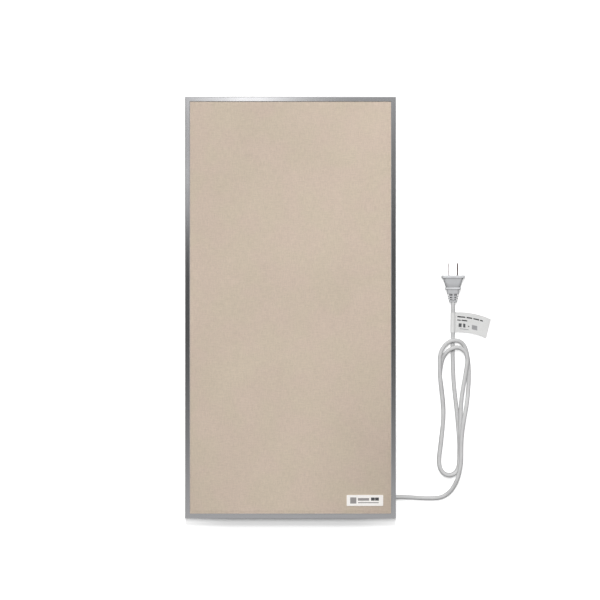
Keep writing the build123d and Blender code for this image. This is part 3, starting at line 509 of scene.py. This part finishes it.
def plug_moulding(name):
    """Moulded plug plastic with painted shade in its grooves, its corners and its lower
    grip, and painted highlights on two rims.
    """
    made = Surface(name)
    place = made.place()
    fine = made.noise(place, scale=2600.0, detail=3.0, roughness=0.6)
    cloud = made.noise(place, scale=60.0, detail=3.0)
    tone = made.shared(fine, cloud)
    y = made.split(place)["Y"]
    # Painted shade: the grip is darker towards its lower end
    grip = made.remap(y, *PLUG_GRIP, PLUG_GRIP_PAINTED_SHADE, 1.0)
    below_grip = made.maths("LESS_THAN", y, PLUG_GRIP[0])
    # Painted highlights: two rims are lighter
    rims = [made.maths("COMPARE", y, *rim) for rim in PLUG_RIMS]
    rim_highlight = made.product(made.total(*rims), PLUG_RIM_HIGHLIGHT)
    shade = made.total(made.maths("MAXIMUM", grip, below_grip), rim_highlight)
    open_colour = made.shaded(made.tones(tone, *PLUG_OPEN_TONES), shade)
    hollow_shade = made.tones(tone, *PLUG_HOLLOW_SHADE)
    # Painted shade in grooves and corners, where the ambient occlusion finds them closed in
    hollow = made.add(
        "ShaderNodeAmbientOcclusion", {"Distance": HOLLOW_SHADE_REACH}, samples=8, only_local=True
    )
    share = made.remap(hollow.outputs["AO"], *HOLLOW_SHADE_OPENNESS, 1.0, 0.0)
    made.feed("Base Color", made.mix(share, open_colour, hollow_shade))
    made.feed("Roughness", made.spread(cloud, 0.36, 0.48))
    made.bump(fine, depth=0.00003, strength=0.5)
    return made.material


def sheathing(name, first, second, roughness):
    """Soft cord sheath with the faint waves and specks of extruded plastic."""
    made = Surface(name, Specular_IOR_Level=0.4)
    place = made.place()
    wave = made.noise(place, scale=90.0, detail=2.0)
    speck = made.noise(place, scale=1800.0, detail=2.0, roughness=0.6)
    made.colour(made.shared(wave, speck), first, second)
    made.feed("Roughness", made.spread(wave, roughness - 0.05, roughness + 0.07))
    coarse = made.bump(wave, depth=0.0004, strength=0.25)
    made.bump(speck, depth=0.00003, strength=0.35, under=coarse)
    return made.material


def powder_coat(name, first, second):
    """Powder coat with its fine orange peel."""
    made = Surface(name, Specular_IOR_Level=0.4)
    place = made.place()
    peel = made.noise(place, scale=850.0, detail=2.0, roughness=0.5)
    speck = made.noise(place, scale=3200.0, detail=2.0)
    cloud = made.noise(place, scale=12.0, detail=3.0)
    made.colour(made.shared(speck, cloud), first, second)
    made.feed("Roughness", made.spread(speck, 0.42, 0.56))
    made.bump(peel, depth=0.00008, strength=0.5)
    return made.material


def plain_metal(name, first, second, roughness):
    """Plated or machined metal with fine scratches and dull spots."""
    made = Surface(name, Metallic=1.0)
    place = made.place()
    scratch = made.noise(made.stretch(place, (1500.0, 90.0, 1500.0)), detail=3.0)
    spot = made.noise(place, scale=300.0, detail=4.0, roughness=0.6)
    made.colour(made.shared(scratch, spot), first, second)
    made.feed("Roughness", made.spread(spot, roughness - 0.08, roughness + 0.1))
    made.bump(scratch, depth=0.00002, strength=0.4)
    return made.material


def foil(name):
    """Bright foil with soft creases."""
    made = Surface(name, Metallic=1.0)
    place = made.place()
    crease = made.cell_edges(place, scale=60.0)
    ripple = made.noise(place, scale=140.0, detail=3.0)
    made.colour(made.spread(ripple), (212, 213, 215), (232, 232, 233))
    made.feed("Roughness", made.spread(ripple, 0.16, 0.3))
    under = made.bump(made.remap(crease, 0.0, 0.12), depth=0.0004, strength=0.5)
    made.bump(ripple, depth=0.0003, strength=0.4, under=under)
    return made.material


def felt(name, first, second):
    """Pressed fibre board: crossing fibres on soft lumps."""
    made = Surface(name, Roughness=0.95, Specular_IOR_Level=0.2, Sheen_Weight=0.3)
    place = made.place()
    fibres = [
        made.noise(made.stretch(place, scale), detail=4.0, roughness=0.65, distortion=1.2)
        for scale in FELT_FIBRES
    ]
    lump = made.noise(place, scale=70.0, detail=3.0)
    both = made.total(*fibres)
    made.colour(made.remap(made.total(both, lump), *TRIO_RANGE), first, second)
    under = made.bump(both, depth=0.0004, strength=0.6)
    made.bump(lump, depth=0.0008, strength=0.4, under=under)
    return made.material


def heating_sheet(name):
    """Dark film printed with fine bands across."""
    made = Surface(name)
    place = made.place()
    rows = made.split(place)["Y"]
    band = made.remap(made.maths("PINGPONG", rows, FILM_BAND_STEP), *FILM_BAND_EDGE)
    speck = made.noise(place, scale=900.0, detail=3.0)
    share = made.total(made.product(band, 0.8), made.spread(speck, 0.0, 0.2))
    made.colour(share, (74, 74, 78), (34, 34, 37))
    made.feed("Roughness", made.spread(speck, 0.36, 0.5))
    made.bump(band, depth=0.00003, strength=0.5)
    return made.material


def plate_enamel(name):
    """Off-white enamel on a small plate, with a faint peel."""
    made = Surface(name, Coat_Weight=0.2)
    place = made.place()
    peel = made.noise(place, scale=500.0, detail=2.0)
    cloud = made.noise(place, scale=70.0, detail=2.0)
    tone = made.shared(peel, cloud)
    base = made.tones(tone, (246, 242, 238), (252, 249, 246))
    x, y = made.from_centre(place, middle("badge_plate"))
    base = made.printed(base, x, y, BADGE_BARS, BADGE_INK)
    made.feed("Base Color", made.printed(base, x, y, BADGE_PALE_BARS, BADGE_PALE_INK))
    made.feed("Roughness", made.spread(cloud, 0.27, 0.38))
    made.bump(peel, depth=0.00003, strength=0.4)
    return made.material


def plated_blades(name):
    """Nickel plate, bright on the left blade; the right one is darker and browner, a painted
    dark reflection.
    """
    made = Surface(name)
    place = made.place()
    scratch = made.noise(made.stretch(place, (2200.0, 120.0, 2200.0)), detail=3.0)
    tone = made.spread(scratch)
    x, _ = made.from_centre(place, middle("plug_blades"))
    side = made.maths("GREATER_THAN", x, 0.0)
    bright = made.tones(tone, *BLADE_BRIGHT)
    # Painted dark reflection on the right blade
    made.feed("Base Color", made.mix(side, bright, made.tones(tone, *BLADE_DARK_REFLECTION)))
    made.feed("Metallic", made.remap(side, 0.0, 1.0, *BLADE_METALLIC))
    made.feed("Roughness", made.spread(scratch, 0.24, 0.36))
    made.bump(scratch, depth=0.00002, strength=0.4)
    return made.material


def tag_paper(name):
    """Coated paper with faint fibres."""
    made = Surface(name, Specular_IOR_Level=0.35)
    place = made.place()
    drawn = made.stretch(place, (1400.0, 500.0, 900.0))
    fibre = made.noise(drawn, detail=4.0, roughness=0.6, distortion=0.8)
    cloud = made.noise(place, scale=45.0, detail=3.0)
    tone = made.shared(fibre, cloud)
    base = made.tones(tone, (230, 230, 229), (238, 238, 237))
    x, y = made.from_centre(place, TAG_CENTRE)
    y = made.total(y, made.product(x, x, TAG_SAG))
    base = made.printed(base, x, y, TAG_BARS, TAG_INK)
    base = made.printed(base, x, y, TAG_BLOCKS, TAG_BLOCK_INK)
    made.feed("Base Color", made.printed(base, x, y, TAG_PALE_BARS, TAG_PALE_INK))
    made.feed("Roughness", made.spread(fibre, 0.56, 0.7))
    made.bump(fibre, depth=0.00005, strength=0.5)
    return made.material


def dress(slot_materials, rail_materials):
    """Gives every CAD node the material of its slot."""
    slots = {row["node"]: row["material_slot"] for row in frame["record"]["subparts"]}
    for name, obj in frame["nodes"].items():
        material = rail_materials.get(name) or slot_materials[slots[name]]
        if not obj.material_slots:
            obj.data.materials.append(material)
        for holder in obj.material_slots:
            holder.material = material


def route_point(across, along, height):
    """A point of the cord, given from the gland's mouth, in metres."""
    return Vector((MOUTH[0] + across, MOUTH[1] + along, height)) * MM


def hank_stations():
    """The stations of the hank's loops, in metres."""
    stations = []
    per_turn = len(HANK_STATIONS)
    for index in range(HANK_LOOPS * per_turn + 1):
        turn, row = divmod(index, per_turn)
        across, along, draw_across, draw_along, first, second = HANK_STATIONS[row]
        x = HANK_CENTRE[0] + HANK_HALF_WIDTH * across + HANK_STEP * turn * draw_across
        y = HANK_CENTRE[1] + HANK_HALF_LENGTH * along + HANK_STEP * turn * draw_along
        z = HANK_FLOOR + LAYER_RISE * (first + turn * (second - first))
        stations.append(Vector((x, y, z)) * MM)
    return stations


def cord_points():
    """The whole route of the cord, from the gland's mouth to the plug."""
    stations = hank_stations()
    start_direction = (stations[1] - stations[0]).normalized()
    end_direction = (stations[-1] - stations[-2]).normalized()
    points = [route_point(*point) for point in LEAD_ROUTE]
    points.append(stations[0] - start_direction * END_RUN * MM)
    points += stations
    points.append(stations[-1] + end_direction * END_RUN * MM)
    points += [route_point(*point) for point in TAIL_ROUTE]
    return points


def drawn_out(points):
    """Moves each point out of its bend, so that the smooth line keeps the bend's size."""
    moved = [points[0]]
    for before, point, after in zip(points, points[1:], points[2:]):
        moved.append(point - (before + after - 2 * point) * BEND_SHARE)
    return moved + [points[-1]]


def make_cord(material):
    """The free cord as one smooth spline."""
    curve = bpy.data.curves.new("supply_cord", "CURVE")
    curve.dimensions = "3D"
    spline = curve.splines.new("NURBS")
    points = drawn_out(cord_points())
    spline.points.add(len(points) - 1)
    for target, point in zip(spline.points, points):
        target.co = (*point, 1.0)
    spline.order_u = 3
    spline.use_endpoint_u = True
    spline.use_smooth = True
    curve.resolution_u = CORD_LENGTH_STEPS
    curve.bevel_depth = CORD_DIAMETER / 2 * MM
    curve.bevel_resolution = CORD_ROUND_STEPS
    curve.use_fill_caps = True
    curve.materials.append(material)
    obj = bpy.data.objects.new("supply_cord", curve)
    bpy.context.scene.collection.objects.link(obj)
    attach(obj, "root")
    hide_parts("cord_lead", "cord_hank", "cord_tail")
    return obj


def make_camera():
    data = bpy.data.cameras.new("camera")
    data.lens = CAMERA_LENS
    data.sensor_width = CAMERA_SENSOR
    data.clip_end = CAMERA_REACH
    camera = bpy.data.objects.new("camera", data)
    camera.location = CAMERA_PLACE
    bpy.context.scene.collection.objects.link(camera)
    bpy.context.scene.camera = camera


def blob(nodes, u, v, centre_u, centre_v, size_u, size_v):
    """A soft round patch of the sky around the zenith."""
    squares = []
    for value, centre, size in ((u, centre_u, size_u), (v, centre_v, size_v)):
        offset = nodes.maths("DIVIDE", nodes.maths("SUBTRACT", value, centre), size)
        squares.append(nodes.product(offset, offset))
    return nodes.maths("EXPONENT", nodes.product(nodes.total(*squares), -1.0))


def make_world():
    """White to the camera, a soft even sky to matt surfaces, a studio ceiling to metal."""
    world = bpy.data.worlds.new("studio")
    world.use_nodes = True
    bpy.context.scene.world = world
    nodes = Nodes(world.node_tree)
    nodes.tree.nodes.clear()
    x, y, z = nodes.split(nodes.place("Generated"))
    height = nodes.maths("MAXIMUM", z, SKY_LEAST_HEIGHT)
    u = nodes.maths("DIVIDE", x, height)
    v = nodes.maths("DIVIDE", y, height)
    shifted = nodes.maths("SUBTRACT", v, CEILING_SHIFT)
    curved = nodes.product(shifted, shifted, CEILING_CURVE)
    beside = nodes.remap(nodes.maths("ABSOLUTE", u), *CEILING_SIDES, 0.0, CEILING_BESIDE)
    ceiling = nodes.total(curved, beside, CEILING_DARK)
    ceiling = nodes.maths("MINIMUM", ceiling, CEILING_TOP)
    for centre_u, centre_v, size_u, size_v, level in SOFTBOXES:
        patch = blob(nodes, u, v, centre_u, centre_v, size_u, size_v)
        ceiling = nodes.total(ceiling, nodes.product(patch, level))
    low = nodes.remap(z, *RIM_HEIGHTS, 1.0, 0.0)
    below = nodes.product(nodes.maths("MINIMUM", y, 0.0), RIM_BELOW)
    above = nodes.product(nodes.maths("MAXIMUM", y, 0.0), RIM_ABOVE)
    gloss = nodes.blend(low, ceiling, nodes.total(below, above, CEILING_RIM))
    side = nodes.product(x, -WORLD_SIDE)
    top = nodes.product(y, WORLD_TOP)
    matt = nodes.maths("MAXIMUM", nodes.total(side, top, WORLD_LEVEL), 0.0)
    path = nodes.add("ShaderNodeLightPath").outputs
    level = nodes.blend(path["Is Glossy Ray"], matt, gloss)
    seen = nodes.maths("MAXIMUM", path["Is Camera Ray"], path["Is Transmission Ray"])
    strength = nodes.blend(seen, level, SKY_WHITE)
    sky = nodes.add("ShaderNodeBackground", {"Strength": strength})
    out = nodes.add("ShaderNodeOutputWorld")
    nodes.tree.links.new(sky.outputs[0], out.inputs["Surface"])


def make_keys():
    """Two soft lamps above the top end, one behind the other."""
    for spot, power in KEYS:
        data = bpy.data.lights.new("key", "AREA")
        data.shape = "RECTANGLE"
        data.size, data.size_y = KEY_SIZE
        data.energy = power
        key = bpy.data.objects.new("key", data)
        key.location = spot
        backwards = Vector(spot) - Vector(KEY_AIM)
        key.rotation_euler = backwards.to_track_quat("Z", "Y").to_euler()
        key.visible_glossy = False
        bpy.context.scene.collection.objects.link(key)


def make_floor():
    """A white floor that keeps the object's shadow, except where painted light lightens it
    towards the panel's ends and beyond its sides.
    """
    half = FLOOR_SIZE / 2
    mesh = bpy.data.meshes.new("floor")
    signs = ((-1, -1), (1, -1), (1, 1), (-1, 1))
    mesh.from_pydata([(half * x, half * y, 0.0) for x, y in signs], [], [(0, 1, 2, 3)])
    floor = bpy.data.objects.new("floor", mesh)
    bpy.context.scene.collection.objects.link(floor)
    material = bpy.data.materials.new("floor_white")
    material.use_nodes = True
    nodes = Nodes(material.node_tree)
    nodes.tree.nodes.clear()
    path = nodes.add("ShaderNodeLightPath").outputs
    mirrored = nodes.blend(path["Is Glossy Ray"], 1.0, FLOOR_GLOSS_SHARE)
    bounced = nodes.blend(path["Is Diffuse Ray"], 1.0, FLOOR_BOUNCE_SHARE)
    colour = nodes.product(FLOOR_COLOUR, mirrored, bounced)
    matt = nodes.add("ShaderNodeBsdfDiffuse", {"Color": nodes.grey(colour)})
    seen = nodes.maths("MAXIMUM", path["Is Camera Ray"], path["Is Transmission Ray"])
    beside = nodes.maths("ABSOLUTE", nodes.split(nodes.place())["X"])
    # Painted light: the glow rises away from the middle, lightening the shadow at the
    # panel's ends and beyond its sides
    level = nodes.remap(beside, *GLOW_REACH, FLOOR_GLOW, FLOOR_GLOW_LIFTING_SHADOW)
    glow = nodes.add("ShaderNodeEmission", {"Strength": nodes.product(seen, level)})
    both = nodes.add("ShaderNodeAddShader", {0: matt.outputs[0], 1: glow.outputs[0]})
    out = nodes.add("ShaderNodeOutputMaterial")
    nodes.tree.links.new(both.outputs[0], out.inputs["Surface"])
    mesh.materials.append(material)


MATERIALS = {
    "frame_metal": brushed_metal("satin_rail_long", 1),
    "face_finish": linen_face("linen_face"),
    "badge_white": plate_enamel("badge_enamel"),
    "film_grey": heating_sheet("heating_film"),
    "busbar_copper": plain_metal("busbar_copper", (196, 128, 96), (214, 148, 116), 0.34),
    "foil_bright": foil("reflector_foil"),
    "insulation_felt": felt("insulation_felt", (196, 188, 168), (214, 207, 190)),
    "back_sheet": powder_coat("back_powder_coat", (188, 190, 190), (200, 202, 202)),
    "fastener_steel": plain_metal("zinc_steel", (176, 178, 180), (204, 205, 206), 0.36),
    "rubber_dark": moulded(
        "rubber_dark", (34, 34, 35), (46, 46, 47), 0.72, grain=1400.0, depth=0.00006
    ),
    "box_plastic": moulded(
        "box_plastic", (46, 46, 48), (58, 58, 60), 0.5, grain=1900.0, depth=0.00005
    ),
    "block_plastic": moulded("block_plastic", (222, 219, 208), (234, 231, 222), 0.4),
    "terminal_brass": plain_metal("terminal_brass", (198, 164, 96), (220, 188, 120), 0.3),
    "cutoff_case": plain_metal("cutoff_case", (178, 172, 160), (200, 195, 184), 0.34),
    "wire_brown": sheathing("wire_brown", (98, 56, 34), (112, 66, 42), 0.36),
    "wire_blue": sheathing("wire_blue", (34, 88, 166), (44, 102, 182), 0.36),
    "cord_grey": sheathing("cord_sheath", (204, 204, 204), (213, 213, 213), 0.42),
    "plug_grey": plug_moulding("plug_moulding"),
    "blade_metal": plated_blades("blade_plate"),
    "tag_paper": tag_paper("tag_paper"),
}
cross_rail = brushed_metal("satin_rail_cross", 0)
dress(MATERIALS, {"frame_rail_top": cross_rail, "frame_rail_bottom": cross_rail})
cord = make_cord(MATERIALS["cord_grey"])
make_camera()
make_world()
make_keys()
make_floor()
bpy.context.scene.view_settings.view_transform = "Standard"
